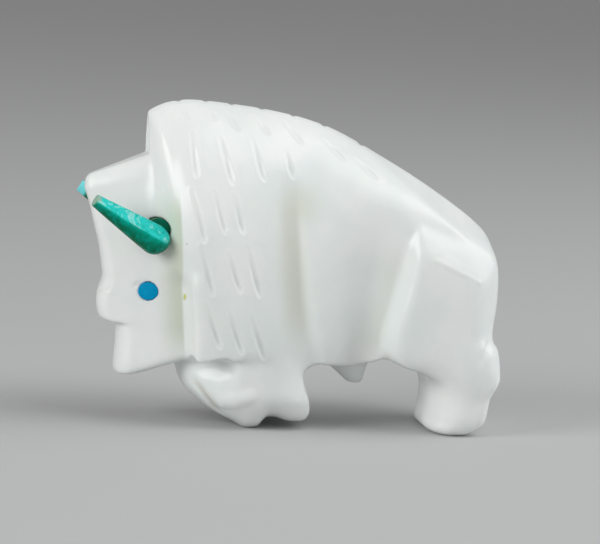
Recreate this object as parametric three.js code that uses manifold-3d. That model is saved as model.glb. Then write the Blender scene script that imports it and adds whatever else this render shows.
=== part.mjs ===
// Bison carved from one small stone, with pegged turquoise horns and inlaid turquoise eyes.
// Millimetres, +Z up. It stands on z = 0 and faces -X; y = 0 is its plane of symmetry.
import * as THREE from 'three';
import { mergeVertices } from 'three/addons/utils/BufferGeometryUtils.js';
import Module from 'manifold-3d';

const wasm = await Module();
wasm.setup();

// Driving sizes of the carving. Its free form is given in shares of these three.
const carvingLength = 45;
const carvingHeight = 34.1;
const carvingHalfWidth = 8.3;

// Sizes of their own: horns, eyes, their seats, and the tool that cut the fur.
const hornPegDiameter = 2.5;
const hornElbowDiameter = 3.2;
const hornTipDiameter = 1.3;
const hornPegDepth = 1.6;
const hornPegProud = 1;
const hornStandoff = 0.12;
const hornElbowAhead = 0.47;
const hornElbowBelow = 0.81;
const eyeDiameter = 2.1;
const eyeDepth = 1.3;
const eyeProud = 0.06;
const glueGap = 0.06;
const strokeWidth = 0.72;
const strokeDepth = 0.3;
const foreCutWidth = 1.5;
const foreCutDepth = 4.6;
const hindCutWidth = 2;
const hindCutDepth = 3.2;

// How far a cutting shape stands out past the face that it cuts.
const overcut = 1;

const along = (share) => (share - 0.5) * carvingLength;
const up = (share) => share * carvingHeight;
const out = (share) => share * carvingHalfWidth;

// A smooth curve through points [t, value], level past its ends, that never overshoots them.
function through(points) {
  const n = points.length;
  const slopes = [];
  for (let i = 0; i < n - 1; i++) {
    slopes.push((points[i + 1][1] - points[i][1]) / (points[i + 1][0] - points[i][0]));
  }
  const tangents = points.map((p, i) => {
    if (i === 0) return slopes[0];
    if (i === n - 1) return slopes[n - 2];
    const a = slopes[i - 1];
    const b = slopes[i];
    return a * b <= 0 ? 0 : (2 * a * b) / (a + b);
  });
  return (t) => {
    if (t <= points[0][0]) return points[0][1];
    if (t >= points[n - 1][0]) return points[n - 1][1];
    let i = 0;
    while (t > points[i + 1][0]) i++;
    const span = points[i + 1][0] - points[i][0];
    const f = (t - points[i][0]) / span;
    const square = f * f;
    const cube = square * f;
    return (2 * cube - 3 * square + 1) * points[i][1] + (cube - 2 * square + f) * span * tangents[i]
      + (3 * square - 2 * cube) * points[i + 1][1] + (cube - square) * span * tangents[i + 1];
  };
}

const between = (a, b, f) => a + (b - a) * f;

// The largest number from 0 to high for which isBefore still holds, found by halving.
const halvings = 24;
function lastBefore(high, isBefore) {
  let low = 0;
  for (let i = 0; i < halvings; i++) {
    const middle = (low + high) / 2;
    if (isBefore(middle)) low = middle;
    else high = middle;
  }
  return low;
}

// A closed skin over rings of [x, y, z] points that run the same way round, with a flat fan at
// each end.
function loft(rings) {
  const count = rings[0].length;
  const middle = (ring) => [0, 1, 2].map((k) => ring.reduce((sum, p) => sum + p[k], 0) / count);
  const points = [...rings.flat(), middle(rings[0]), middle(rings[rings.length - 1])];
  const faces = [];
  for (let r = 0; r < rings.length - 1; r++) {
    for (let i = 0; i < count; i++) {
      const j = (i + 1) % count;
      const [a, b, c, d] = [r * count + i, r * count + j, (r + 1) * count + j, (r + 1) * count + i];
      faces.push(a, b, c, a, c, d);
    }
  }
  const last = (rings.length - 1) * count;
  for (let i = 0; i < count; i++) {
    const j = (i + 1) % count;
    faces.push(rings.length * count, j, i);
    faces.push(rings.length * count + 1, last + i, last + j);
  }
  const geometry = new THREE.BufferGeometry();
  geometry.setAttribute('position', new THREE.Float32BufferAttribute(points.flat(), 3));
  geometry.setIndex(faces);
  return geometry;
}

// A solid from a closed geometry; a skin wound the wrong way round is turned the right way out.
function solid(geometry) {
  const bare = geometry.clone();
  for (const name of Object.keys(bare.attributes)) {
    if (name !== 'position') bare.deleteAttribute(name);
  }
  const merged = mergeVertices(bare, 1e-4);
  const place = merged.getAttribute('position').array;
  const index = Array.from(merged.getIndex().array);
  const kept = [];
  let volume = 0;
  for (let i = 0; i < index.length; i += 3) {
    const [a, b, c] = index.slice(i, i + 3);
    if (a === b || b === c || a === c) continue;
    kept.push(a, b, c);
    const [p, q, r] = [a, b, c].map((v) => new THREE.Vector3().fromArray(place, v * 3));
    volume += p.dot(q.cross(r));
  }
  if (volume < 0) kept.reverse();
  return new wasm.Manifold(new wasm.Mesh({
    numProp: 3,
    vertProperties: new Float32Array(place),
    triVerts: new Uint32Array(kept),
  }));
}

function geometryOf(manifold) {
  const mesh = manifold.getMesh();
  const geometry = new THREE.BufferGeometry();
  geometry.setAttribute('position', new THREE.BufferAttribute(mesh.vertProperties, 3));
  geometry.setIndex(new THREE.BufferAttribute(mesh.triVerts, 1));
  const faceted = geometry.toNonIndexed();
  faceted.computeVertexNormals();
  return faceted;
}

const mirrored = (geometry) => geometry.clone().scale(1, -1, 1);

// Outline of the back and of the underside, in shares: [along, up].
const ridge = through([
  [0.13, 0.957], [0.15, 0.974], [0.18, 0.99], [0.23, 1], [0.35, 0.99], [0.469, 0.968], [0.55, 0.94],
  [0.59, 0.919], [0.69, 0.852], [0.79, 0.779], [0.892, 0.693], [0.948, 0.638], [0.964, 0.605],
  [0.972, 0.55], [0.9765, 0.47],
]);
const underside = through([
  [0.13, 0.235], [0.25, 0.22], [0.42, 0.222], [0.47, 0.19], [0.505, 0.177], [0.53, 0.198],
  [0.553, 0.21], [0.585, 0.206], [0.62, 0.2], [0.68, 0.215], [0.73, 0.236], [0.9, 0.24], [0.94, 0.27],
  [0.96, 0.31], [0.971, 0.355], [0.98, 0.4],
]);

// Sections of the mane and barrel, nose end first. line: the section's place at heights from its
// foot (0) to its ridge (1). width: half width at its widest height. shoulder: how square it turns
// in to the ridge. roof: how flat the bevel beside the ridge lies. hem: how far its foot draws in.
const sections = [
  { line: [[0, 0.235], [0.3, 0.21], [0.62, 0.158], [0.85, 0.134], [1, 0.131]],
    width: 0.36, widest: 0.4, shoulder: 2, roof: 9, hem: 0.06 },
  { line: [[0, 0.251], [0.3, 0.231], [0.4, 0.208], [0.63, 0.183], [0.85, 0.155], [1, 0.134]],
    width: 0.8, widest: 0.38, shoulder: 2, roof: 9, hem: 0.06 },
  { line: [[0, 0.26], [0.29, 0.24], [0.4, 0.22], [0.63, 0.198], [0.81, 0.183], [0.9, 0.162], [1, 0.142]],
    width: 0.97, widest: 0.36, shoulder: 2, roof: 9, hem: 0.06 },
  { line: [[0, 0.281], [0.29, 0.263], [0.4, 0.246], [0.63, 0.225], [0.81, 0.208], [1, 0.168]],
    width: 0.995, widest: 0.36, shoulder: 2, roof: 9, hem: 0.06 },
  { line: [[0, 0.367], [0.5, 0.333], [1, 0.278]],
    width: 1, widest: 0.36, shoulder: 2, roof: 9, hem: 0.06 },
  { line: [[0, 0.509], [0.28, 0.478], [0.56, 0.46], [1, 0.411]],
    width: 0.93, widest: 0.35, shoulder: 2.1, roof: 8, hem: 0.1 },
  { line: [[0, 0.589], [0.38, 0.518], [0.6, 0.493], [1, 0.489]],
    width: 0.86, widest: 0.35, shoulder: 2.3, roof: 6, hem: 0.22 },
  { line: [[0, 0.633], [0.5, 0.647], [1, 0.633]],
    width: 0.8, widest: 0.4, shoulder: 3.2, roof: 3.4, hem: 0.28 },
  { line: [[0, 0.707], [0.5, 0.727], [1, 0.767]],
    width: 0.78, widest: 0.45, shoulder: 4.2, roof: 2.2, hem: 0.2 },
  { line: [[0, 0.878], [1, 0.878]],
    width: 0.76, widest: 0.5, shoulder: 5, roof: 2.05, hem: 0.1 },
  { line: [[0, 0.94], [1, 0.946]],
    width: 0.74, widest: 0.5, shoulder: 5, roof: 2.4, hem: 0.1 },
  { line: [[0, 0.962], [1, 0.966]],
    width: 0.68, widest: 0.5, shoulder: 4, roof: 3, hem: 0.15 },
  { line: [[0, 0.971], [1, 0.972]],
    width: 0.56, widest: 0.5, shoulder: 3, roof: 4, hem: 0.2 },
  { line: [[0, 0.9765], [1, 0.9765]],
    width: 0.38, widest: 0.5, shoulder: 2, roof: 5, hem: 0.3 },
];
const ringsAfter = [2, 2, 2, 3, 4, 3, 4, 4, 4, 3, 2, 2, 2];
const crestHalfWidth = 0.3;
const footInset = 0.92;

// Hollows rubbed into the flank: behind the mane, and in front of the haunch. Each follows a line from
// the foot up; before and after are how far it reaches towards the head and towards the rump, and
// steep is how sharply its wall on the rump's side rises.
const hollows = [
  { line: through([[0, 0.508], [0.28, 0.479], [0.56, 0.458], [1, 0.44]]),
    depth: through([[0.0, 0.18], [0.3, 0.17], [0.55, 0.13], [0.68, 0.06], [0.78, 0]]),
    before: through([[0, 0.07], [0.4, 0.055], [0.7, 0.035]]),
    after: through([[0, 0.05], [0.4, 0.036], [0.7, 0.03]]), steep: 3.5 },
  { line: through([[0, 0.65], [0.5, 0.664], [1, 0.7]]),
    depth: through([[0.0, 0.16], [0.15, 0.2], [0.4, 0.17], [0.6, 0.09], [0.78, 0]]),
    before: through([[0, 0.06], [0.5, 0.085], [1, 0.08]]),
    after: through([[0, 0.06], [0.5, 0.06], [1, 0.05]]), steep: 2 },
];

const lines = sections.map((section) => through(section.line));
const trait = (name) => through(sections.map((section, i) => [i, section[name]]));
const traits = { width: trait('width'), widest: trait('widest'), shoulder: trait('shoulder'),
  roof: trait('roof'), hem: trait('hem') };

// Place along the body of section g, a number from 0 to the last, at height share u of that section.
const sectionAlong = (g, u) => through(lines.map((line, i) => [i, line(u)]))(g);

// Half width of the barrel at section g and height share u, then at a point of the side view.
function barrelHalf(g, u) {
  const s = sectionAlong(g, u);
  const widest = traits.widest(g);
  const width = traits.width(g);
  const above = Math.max(0, (u - widest) / (1 - widest));
  const below = Math.max(0, 1 - u / widest);
  const turnIn = Math.max(0, 1 - above ** traits.shoulder(g)) ** (2 / 3);
  let half = width * (turnIn - traits.hem(g) * below ** 3);
  for (const hollow of hollows) {
    const past = s - hollow.line(u);
    const fade = past < 0 ? (-past / hollow.before(u)) ** 2 : (past / hollow.after(u)) ** hollow.steep;
    half -= hollow.depth(u) * Math.exp(-fade);
  }
  const fromRidge = up((ridge(s) - underside(s)) * (1 - u));
  return Math.min(out(half), crestHalfWidth + traits.roof(g) * fromRidge);
}

function flankAt(s, q) {
  const u = (q - underside(s)) / (ridge(s) - underside(s));
  return barrelHalf(lastBefore(sections.length - 1, (g) => sectionAlong(g, u) < s), u);
}

// The mane and barrel: rings across the body, each from its foot up one side and down the other.
function barrel() {
  const heights = [0, 0.025, 0.08, 0.15, 0.22, 0.29, 0.36, 0.43, 0.5, 0.57, 0.64, 0.71, 0.77, 0.83,
    0.88, 0.925, 0.96, 0.985];
  const rings = [];
  const ring = (g) => {
    const side = heights.map((u) => {
      const s = sectionAlong(g, u);
      const inset = u === 0 ? footInset : 1;
      return [along(s), barrelHalf(g, u) * inset, up(between(underside(s), ridge(s), u))];
    });
    const crest = sectionAlong(g, 1);
    const top = [along(crest), 0, up(ridge(crest))];
    const foot = [side[0][0], 0, side[0][2]];
    const far = side.map(([x, y, z]) => [x, -y, z]).reverse();
    rings.push([foot, ...side, top, ...far]);
  };
  ringsAfter.forEach((count, i) => {
    for (let k = 0; k < count; k++) ring(i + k / count);
  });
  ring(sections.length - 1);
  return loft(rings);
}

// The head: slices from chin to brow. Columns: face line [along, up], half width at the face and at
// the neck, corner radius between face and cheek, and the rise of the slice towards the neck.
const headSlices = [
  [0.115, 0.1425, 0.36, 0.5, 0.07, 0.38],
  [0.0985, 0.143, 0.4, 0.58, 0.06, 0.35],
  [0.092, 0.151, 0.42, 0.62, 0.05, 0.32],
  [0.0905, 0.166, 0.43, 0.64, 0.05, 0.28],
  [0.091, 0.2, 0.43, 0.65, 0.05, 0.18],
  [0.0925, 0.25, 0.43, 0.65, 0.05, 0.08],
  [0.0915, 0.3045, 0.43, 0.65, 0.05, 0.02],
  [0.059, 0.311, 0.36, 0.65, 0.05, 0.02],
  [0.0485, 0.3175, 0.335, 0.65, 0.05, 0],
  [0.0395, 0.364, 0.315, 0.65, 0.05, 0],
  [0.041, 0.398, 0.315, 0.65, 0.05, 0],
  [0.048, 0.424, 0.335, 0.65, 0.05, 0],
  [0.0515, 0.446, 0.34, 0.65, 0.05, 0],
  [0.048, 0.474, 0.33, 0.65, 0.05, 0.02],
  [0.039, 0.536, 0.3, 0.64, 0.05, 0.06],
  [0.0245, 0.597, 0.26, 0.61, 0.05, 0.12],
  [0.0145, 0.644, 0.23, 0.57, 0.05, 0.18],
  [0.001, 0.693, 0.19, 0.49, 0.05, 0.27],
  [-0.006, 0.719, 0.16, 0.43, 0.05, 0.34],
  [-0.005, 0.742, 0.12, 0.34, 0.05, 0.39],
  [0.002, 0.757, 0.08, 0.22, 0.04, 0.41],
];
const neckAlong = 0.3;
const cheekSweep = 2;
const faceRounding = 1.6;
const cheekStations = [0.1, 0.25, 0.4, 0.6, 1];

// Half width of a head slice at x, from the face corner back to the neck.
function sliceHalf([faceAlong, , faceHalf, neckHalf, corner], x) {
  const start = along(faceAlong) + out(corner);
  const f = (x - start) / (along(neckAlong) - start);
  return between(out(faceHalf), out(neckHalf), 1 - (1 - f) ** cheekSweep);
}

function headRing(slice) {
  const [faceAlong, faceUp, faceHalf, , corner, rise] = slice;
  const face = along(faceAlong);
  const half = out(faceHalf);
  const radius = out(corner);
  const at = (x, y) => [x, y, up(faceUp) + rise * (x - face)];
  const side = [];
  for (const turn of [0, 0.2, 0.5, 0.8]) {
    const angle = turn * Math.PI / 2;
    const inset = faceRounding * radius * (1 - Math.sin(angle));
    side.push(at(face + radius * (1 - Math.cos(angle)), half - inset));
  }
  for (const f of cheekStations) {
    const x = between(face + radius, along(neckAlong), f);
    side.push(at(x, sliceHalf(slice, x)));
  }
  const far = side.map(([x, y, z]) => [x, -y, z]).reverse();
  return [...side, ...far];
}

// Half width of the head at a point of the side view.
function cheekAt(s, q) {
  const columns = headSlices[0].map((_, column) => {
    return through(headSlices.map((slice, i) => [i, slice[column]]));
  });
  const sliceAt = (place) => columns.map((column) => column(place));
  const place = lastBefore(headSlices.length - 1, (middle) => {
    const [faceAlong, faceUp, , , , rise] = sliceAt(middle);
    return up(faceUp) + rise * (along(s) - along(faceAlong)) < up(q);
  });
  return sliceHalf(sliceAt(place), along(s));
}

// The haunches: slices from the belly to the loin, each across the whole body. Columns: up, front and
// back along, half width, front and back corner radius, and the rise of the slice towards the rump.
const haunchSlices = [
  [0.217, 0.733, 0.92, 0.79, 0.14, 0.2, -0.3],
  [0.225, 0.715, 0.935, 0.83, 0.16, 0.22, -0.31],
  [0.236, 0.704, 0.943, 0.86, 0.18, 0.24, -0.29],
  [0.254, 0.699, 0.945, 0.88, 0.19, 0.22, -0.22],
  [0.275, 0.696, 0.945, 0.895, 0.2, 0.22, -0.12],
  [0.31, 0.6955, 0.948, 0.91, 0.2, 0.26, -0.04],
  [0.35, 0.7, 0.955, 0.925, 0.2, 0.34, 0],
  [0.4, 0.708, 0.958, 0.94, 0.2, 0.4, -0.05],
  [0.462, 0.7195, 0.954, 0.95, 0.2, 0.42, -0.15],
  [0.532, 0.7302, 0.955, 0.955, 0.19, 0.42, -0.29],
  [0.587, 0.738, 0.957, 0.95, 0.17, 0.42, -0.42],
  [0.63, 0.744, 0.956, 0.87, 0.13, 0.4, -0.4],
  [0.668, 0.75, 0.95, 0.76, 0.1, 0.34, -0.37],
  [0.69, 0.758, 0.94, 0.66, 0.08, 0.28, -0.35],
];

// The block of both hind legs, from the soles to the hocks, in the same columns.
const hindSlices = [
  [0, 0.845, 0.908, 0.62, 0.19, 0.1, 0],
  [0.008, 0.83, 0.923, 0.69, 0.28, 0.12, 0],
  [0.025, 0.821, 0.942, 0.75, 0.36, 0.14, 0],
  [0.05, 0.823, 0.956, 0.79, 0.42, 0.14, 0],
  [0.085, 0.8335, 0.96, 0.815, 0.42, 0.14, 0],
  [0.12, 0.8375, 0.963, 0.83, 0.42, 0.14, 0],
  [0.143, 0.8385, 0.97, 0.845, 0.42, 0.14, 0],
  [0.165, 0.8375, 0.979, 0.86, 0.42, 0.15, 0],
  [0.19, 0.8375, 0.984, 0.87, 0.42, 0.18, 0],
  [0.22, 0.84, 0.984, 0.88, 0.42, 0.24, 0],
  [0.257, 0.843, 0.982, 0.88, 0.4, 0.3, 0],
  [0.281, 0.848, 0.977, 0.86, 0.32, 0.33, 0],
  [0.295, 0.856, 0.962, 0.8, 0.2, 0.3, 0],
];

// A slice keeps its height where its slope crosses this place along the body. Its front corners are
// deeper across the body than along it; a corner's flatness runs from 0, round, to 1, a chamfer.
const slopePivot = 0.74;
const frontCornerDepth = 1.5;
const haunchFlatness = 0.6;
const hindLegFlatness = 0;

function legRing([upShare, frontAlong, backAlong, halfShare, frontCorner, backCorner, rise], flatness) {
  const front = along(frontAlong);
  const back = along(backAlong);
  const level = up(upShare);
  const half = out(halfShare);
  const frontRadius = out(frontCorner);
  const backRadius = out(backCorner);
  const at = (x, y) => [x, y, level + rise * (x - along(slopePivot))];
  const ring = [];
  for (const turn of [0, 0.25, 0.5, 0.75, 1]) {
    const angle = turn * Math.PI / 2;
    const x = front + frontRadius * between(1 - Math.cos(angle), turn, flatness);
    const inset = frontCornerDepth * frontRadius * between(1 - Math.sin(angle), 1 - turn, flatness);
    ring.push(at(x, half - inset));
  }
  ring.push(at(between(front + frontRadius, back - backRadius, 0.5), half));
  for (const turn of [0, 0.33, 0.66, 1]) {
    const angle = turn * Math.PI / 2;
    const x = back - backRadius * (1 - Math.sin(angle));
    ring.push(at(x, half - backRadius * (1 - Math.cos(angle))));
  }
  return [...ring, ...ring.map(([x, y, z]) => [x, -y, z]).reverse()];
}

// The block of both forelegs: cross slices from under the chin to the heels. Columns: along, up of its
// underside and of its top, half width, how much wider it is where it meets the mane's foot, and how
// square the slice is.
const foreSlices = [
  [0.226, 0.182, 0.28, 0.26, 0, 0.9],
  [0.234, 0.148, 0.28, 0.38, 0, 0.85],
  [0.248, 0.111, 0.28, 0.5, 0, 0.8],
  [0.272, 0.082, 0.28, 0.62, 0, 0.72],
  [0.3, 0.054, 0.28, 0.72, 0, 0.66],
  [0.332, 0.03, 0.28, 0.78, 0.1, 0.62],
  [0.366, 0.01, 0.28, 0.81, 0.22, 0.58],
  [0.392, -0.008, 0.28, 0.81, 0.22, 0.56],
  [0.415, -0.006, 0.28, 0.8, 0.2, 0.56],
  [0.43, 0.014, 0.28, 0.78, 0.19, 0.58],
  [0.44, 0.03, 0.28, 0.77, 0.18, 0.58],
  [0.458, 0.03, 0.28, 0.77, 0.14, 0.58],
  [0.48, 0.02, 0.28, 0.78, 0.08, 0.58],
  [0.5, 0.016, 0.27, 0.78, 0.03, 0.58],
  [0.511, 0.016, 0.23, 0.77, 0, 0.6],
  [0.52, 0.019, 0.165, 0.75, 0, 0.6],
  [0.53, 0.024, 0.125, 0.71, 0, 0.62],
  [0.5365, 0.045, 0.085, 0.64, 0, 0.66],
];

const foreSides = 24;
const foreBulge = 0.12;
const foreWidestUp = 0.1;
const maneFootUp = 0.22;

function foreRing([alongShare, bottom, top, halfShare, flare, squareness]) {
  const half = out(halfShare);
  const low = up(bottom);
  const high = up(top);
  const ring = [];
  const round = (value) => Math.sign(value) * Math.abs(value) ** squareness;
  for (let i = 0; i < foreSides; i++) {
    const angle = ((i + 0.5) / foreSides) * Math.PI * 2;
    const z = (low + high) / 2 + ((high - low) / 2) * round(Math.sin(angle));
    const bulge = 1 - foreBulge * Math.abs(z / up(foreWidestUp) - 1);
    const wide = half * bulge + out(flare) * Math.min(1, z / up(maneFootUp)) ** 2;
    ring.push([along(alongShare), wide * round(Math.cos(angle)), Math.max(0, z)]);
  }
  return ring;
}

// The saw cut that parts each pair of legs along the middle, from below: a long wedge. legPairs: where
// the cuts start and end along the body. The hind one is sawn from behind and stops short of the front.
const legPairs = [[0.2, 0.56, foreCutWidth, foreCutDepth], [0.88, 1, hindCutWidth, hindCutDepth]];

function legCut([from, to, width, depth]) {
  const wedge = new THREE.Shape([
    new THREE.Vector2(-width / 2, -overcut),
    new THREE.Vector2(width / 2, -overcut),
    new THREE.Vector2(0, depth),
  ]);
  const cut = new THREE.ExtrudeGeometry(wedge, { depth: along(to) - along(from), bevelEnabled: false });
  cut.rotateX(Math.PI / 2);
  cut.rotateZ(Math.PI / 2);
  cut.translate(along(from), 0, 0);
  return cut;
}

// The small cone under the belly, which leans forward: along, up and half width of its tip and root.
const cone = { tip: [0.661, 0.136, 0.07], root: [0.625, 0.235, 0.37], sides: 12 };

function bellyCone() {
  return loft([cone.root, cone.tip].map(([alongShare, upShare, halfShare]) => {
    return Array.from({ length: cone.sides }, (_, i) => {
      const angle = (i / cone.sides) * Math.PI * 2;
      const radius = out(halfShare);
      return [along(alongShare) + radius * Math.cos(angle), radius * Math.sin(angle), up(upShare)];
    });
  }));
}

// Fur: each stroke is a slim lens of a cut. Rows of [start along, start up, end along, end up].
const furRows = [
  [[0.204, 0.979, 0.218, 0.946], [0.255, 0.979, 0.281, 0.947], [0.307, 0.97, 0.334, 0.919],
    [0.377, 0.962, 0.407, 0.911], [0.446, 0.948, 0.485, 0.888], [0.541, 0.898, 0.587, 0.842],
    [0.614, 0.847, 0.665, 0.791]],
  [[0.227, 0.903, 0.235, 0.782], [0.295, 0.892, 0.319, 0.765], [0.372, 0.893, 0.393, 0.779],
    [0.45, 0.867, 0.463, 0.792]],
  [[0.227, 0.734, 0.257, 0.592], [0.278, 0.731, 0.304, 0.619], [0.324, 0.722, 0.346, 0.621]],
  [[0.251, 0.567, 0.282, 0.431], [0.314, 0.546, 0.347, 0.441], [0.357, 0.573, 0.392, 0.43]],
  [[0.268, 0.39, 0.307, 0.268], [0.32, 0.381, 0.359, 0.252], [0.374, 0.359, 0.413, 0.236]],
];

// A stroke's stations from start to end, how much of its depth and width is left at the two ends, how
// much wider it is above the surface than at it, and how far above the surface it starts.
const strokeStations = [0, 0.22, 0.5, 0.78, 1];
const strokeEnds = 0.12;
const strokeFlare = 1.5;
const strokeLift = 0.6;
const strokeProbe = 0.1;
const flankProbe = 0.5;

function furStroke([startAlong, startUp, endAlong, endUp]) {
  const place = (f) => {
    const s = between(startAlong, endAlong, f);
    const q = between(startUp, endUp, f);
    return new THREE.Vector3(along(s), flankAt(s, q), up(q));
  };
  const rings = strokeStations.map((f) => {
    const here = place(f);
    const run = place(Math.min(1, f + strokeProbe)).sub(place(Math.max(0, f - strokeProbe))).normalize();
    const beside = new THREE.Vector3(here.x + flankProbe, 0, here.z);
    beside.y = flankAt(beside.x / carvingLength + 0.5, here.z / carvingHeight);
    const outward = beside.sub(here).cross(run).normalize();
    if (outward.y < 0) outward.negate();
    const across = run.clone().cross(outward);
    const full = f === 0 || f === 1 ? strokeEnds : 1;
    const edge = across.multiplyScalar(full * strokeFlare * strokeWidth / 2);
    const above = here.clone().addScaledVector(outward, strokeDepth * strokeLift);
    const below = here.clone().addScaledVector(outward, -strokeDepth * full);
    return [above.clone().add(edge), above.clone().sub(edge), below].map((p) => p.toArray());
  });
  return loft(rings);
}

// Small nicks that the fur tool left across the ridge.
const ridgeNicks = [0.2, 0.265, 0.327, 0.399, 0.475, 0.55, 0.642];
const nickWidth = 0.7;
const nickDepth = 0.2;
const nickLength = 3;
const ridgeProbe = 0.01;

function ridgeNick(place) {
  const drop = up(ridge(place + ridgeProbe) - ridge(place - ridgeProbe));
  const fall = Math.atan2(drop, 2 * ridgeProbe * carvingLength);
  const wedge = new THREE.Shape([
    new THREE.Vector2(-nickWidth, nickDepth),
    new THREE.Vector2(0, -nickDepth),
    new THREE.Vector2(nickWidth, nickDepth),
  ]);
  const nick = new THREE.ExtrudeGeometry(wedge, { depth: nickLength, bevelEnabled: false });
  nick.translate(0, 0, -nickLength / 2);
  nick.rotateZ(fall);
  nick.rotateX(Math.PI / 2);
  nick.translate(along(place), 0, up(ridge(place)));
  return nick;
}

// Where the horns are seated in the side of the head, and the places of their tips: along, out, up.
const hornSeatAlong = 0.157;
const hornSeatUp = 0.608;
const leftHornTip = [0.004, 0.86, 0.7];
const rightHornTip = [-0.0015, 0.86, 0.687];
const hornSides = 12;
const elbowTurns = [70, 45, 20];
const taperStations = [0, 0.25, 0.5, 0.75, 1];

// The horn on the +Y side: a peg out of the head, a round elbow clear of the cheek and a little ahead
// of the peg, then a straight taper to a cut tip. elbowTurns: the angles, in degrees, of the rings round
// the back of the elbow.
function hornSkin([tipAlong, tipOut, tipUp]) {
  const elbowRadius = hornElbowDiameter / 2;
  const elbow = new THREE.Vector3(
    along(hornSeatAlong) - hornElbowAhead,
    cheekAt(hornSeatAlong, hornSeatUp) + elbowRadius + hornStandoff,
    up(hornSeatUp) - hornElbowBelow,
  );
  const tip = new THREE.Vector3(along(tipAlong), out(tipOut), up(tipUp));
  const forward = tip.clone().sub(elbow).normalize();
  const rings = [];
  const ring = (centre, facing, radius) => {
    const aside = new THREE.Vector3(0, 0, 1).cross(facing).normalize();
    const above = facing.clone().cross(aside);
    rings.push(Array.from({ length: hornSides }, (_, i) => {
      const angle = (i / hornSides) * Math.PI * 2;
      const point = centre.clone().addScaledVector(aside, radius * Math.cos(angle));
      return point.addScaledVector(above, radius * Math.sin(angle)).toArray();
    }));
  };
  for (const turn of elbowTurns.map(THREE.MathUtils.degToRad)) {
    const behind = elbow.clone().addScaledVector(forward, -Math.sin(turn) * elbowRadius);
    ring(behind, forward, Math.cos(turn) * elbowRadius);
  }
  for (const f of taperStations) {
    ring(elbow.clone().lerp(tip, f), forward, between(elbowRadius, hornTipDiameter / 2, f));
  }
  return loft(rings);
}

// The round peg under the elbow, or the hole for it in the head.
function hornPeg(wider, deeper, reach) {
  const radius = hornPegDiameter / 2 + wider;
  const depth = hornPegDepth + deeper;
  const peg = new THREE.CylinderGeometry(radius, radius, depth + reach, hornSides);
  const cheek = cheekAt(hornSeatAlong, hornSeatUp);
  peg.translate(along(hornSeatAlong), cheek + (reach - depth) / 2, up(hornSeatUp));
  return peg;
}

function horn(tip) {
  return solid(hornSkin(tip)).add(solid(hornPeg(0, 0, hornPegProud)));
}

// The eye: a round plug set into the side of the head, square to the cheek, or the hole for it.
const eyeAlong = 0.143;
const eyeUp = 0.416;
const eyeSides = 24;
const cheekProbe = 0.02;

function eyePlug(wider, deeper, proud) {
  const radius = eyeDiameter / 2 + wider;
  const depth = eyeDepth + deeper;
  const widening = cheekAt(eyeAlong + cheekProbe, eyeUp) - cheekAt(eyeAlong - cheekProbe, eyeUp);
  const slope = widening / (2 * cheekProbe * carvingLength);
  const plug = new THREE.CylinderGeometry(radius, radius, depth + proud, eyeSides);
  plug.translate(0, (proud - depth) / 2, 0);
  plug.rotateZ(Math.atan(slope));
  plug.translate(along(eyeAlong), cheekAt(eyeAlong, eyeUp), up(eyeUp));
  return plug;
}

function carvedBody() {
  const haunches = loft(haunchSlices.map((slice) => legRing(slice, haunchFlatness)));
  const hindLegs = loft(hindSlices.map((slice) => legRing(slice, hindLegFlatness)));
  const masses = [loft(headSlices.map(headRing)), bellyCone(), haunches, hindLegs,
    loft(foreSlices.map(foreRing))];
  let body = solid(barrel());
  for (const mass of masses) body = body.add(solid(mass));
  for (const pair of legPairs) body = body.subtract(solid(legCut(pair)));
  for (const stroke of furRows.flat().map(furStroke)) {
    body = body.subtract(solid(stroke)).subtract(solid(mirrored(stroke)));
  }
  for (const place of ridgeNicks) body = body.subtract(solid(ridgeNick(place)));
  for (const seat of [eyePlug(glueGap, glueGap, overcut), hornPeg(glueGap, glueGap, overcut)]) {
    body = body.subtract(solid(seat)).subtract(solid(mirrored(seat)));
  }
  return body;
}

const stone = new THREE.MeshStandardMaterial({ color: 0xf2f0e6, roughness: 0.22, metalness: 0 });
const greenTurquoise = new THREE.MeshStandardMaterial({ color: 0x13a583, roughness: 0.3, metalness: 0 });
const blueTurquoise = new THREE.MeshStandardMaterial({ color: 0x1f97c4, roughness: 0.3, metalness: 0 });

const figure = new THREE.Group();
function addPiece(name, geometry, material) {
  const mesh = new THREE.Mesh(geometry, material);
  mesh.name = name;
  figure.add(mesh);
}

addPiece('body', geometryOf(carvedBody()), stone);
const eye = eyePlug(0, 0, eyeProud);
addPiece('right_horn', geometryOf(horn(rightHornTip)), greenTurquoise);
addPiece('left_horn', geometryOf(solid(mirrored(geometryOf(horn(leftHornTip))))), greenTurquoise);
addPiece('right_eye', geometryOf(solid(eye)), blueTurquoise);
addPiece('left_eye', geometryOf(solid(mirrored(eye))), blueTurquoise);

// The origin lies under the middle of the whole figure.
const reach = new THREE.Box3().setFromObject(figure);
figure.position.set(-(reach.min.x + reach.max.x) / 2, -(reach.min.y + reach.max.y) / 2, -reach.min.z);

export default figure;
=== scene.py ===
# A small bison carved from one white stone, with pegged turquoise horns and inlaid turquoise eyes.
import math

import bpy
import numpy as np
import openvdb as vdb
from mathutils import Matrix, Vector


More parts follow.
